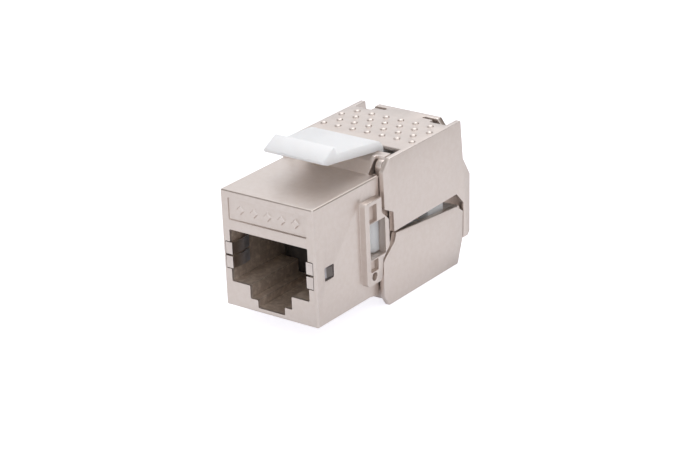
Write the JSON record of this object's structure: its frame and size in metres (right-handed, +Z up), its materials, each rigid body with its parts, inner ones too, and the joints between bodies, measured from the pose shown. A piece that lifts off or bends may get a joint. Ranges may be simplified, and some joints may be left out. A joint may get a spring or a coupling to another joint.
{
  "type": "keystone jack",
  "caption": "Shielded snap-in network jack: die-cast port block with panel ribs, two hinged rear shells that close over the cable, and a white panel latch.",
  "frame": {"origin": "middle of the jack's footprint on the surface it stands on", "axes": "+Z up, -Y out of the port towards the plug, +Y towards the cable, +X to the right seen from the port"},
  "size_m": [0.0164, 0.033, 0.023],
  "materials": {
    "nickel_zinc": "satin nickel plating on die-cast zinc",
    "spring_steel": "bright spring steel",
    "dark_plastic": "matte black moulding",
    "board": "green solder mask",
    "white_plastic": "satin white moulding",
    "latch_plastic": "satin white moulding",
    "gold_contact": "gold-plated spring wire",
    "tinned_bronze": "bright tin plating"
  },
  "bodies": {
    "jack_body": {"front_housing": "nickel_zinc", "ground_spring_right": "spring_steel", "ground_spring_left": "spring_steel", "contact_carrier": "dark_plastic", "circuit_board": "board", "idc_housing": "white_plastic", "contact_1": "gold_contact", "contact_2": "gold_contact", "contact_3": "gold_contact", "contact_4": "gold_contact", "contact_5": "gold_contact", "contact_6": "gold_contact", "contact_7": "gold_contact", "contact_8": "gold_contact", "idc_terminal_1": "tinned_bronze", "idc_terminal_2": "tinned_bronze", "idc_terminal_3": "tinned_bronze", "idc_terminal_4": "tinned_bronze", "idc_terminal_5": "tinned_bronze", "idc_terminal_6": "tinned_bronze", "idc_terminal_7": "tinned_bronze", "idc_terminal_8": "tinned_bronze"},
    "upper_shell_body": {"upper_shell": "nickel_zinc"},
    "lower_shell_body": {"lower_shell": "nickel_zinc"},
    "wire_manager_body": {"wire_manager": "white_plastic"},
    "latch_body": {"latch": "latch_plastic"}
  },
  "joints": [
    {"name": "upper_shell_hinge", "type": "hinge", "parent": "jack_body", "child": "upper_shell_body", "pos_m": [0, -0.001, 0.01836], "axis": [1, 0, 0], "range_deg": [0, 80]},
    {"name": "lower_shell_hinge", "type": "hinge", "parent": "jack_body", "child": "lower_shell_body", "pos_m": [0, -0.0011, 0.00176], "axis": [-1, 0, 0], "range_deg": [0, 80]},
    {"name": "wire_manager_slide", "type": "slide", "parent": "jack_body", "child": "wire_manager_body", "axis": [0, 1, 0], "range_m": [0, 0.004]},
    {"name": "latch_press", "type": "hinge", "parent": "jack_body", "child": "latch_body", "pos_m": [0, -0.0003, 0.02046], "axis": [1, 0, 0], "range_deg": [0, 8], "stiffness_Nm_per_rad": 0.05}
  ],
  "couplings": [
    {"joint": "lower_shell_hinge", "follows": "upper_shell_hinge", "ratio": 1},
    {"joint": "wire_manager_slide", "follows": "upper_shell_hinge", "m_per_rad": 0.0028}
  ]
}
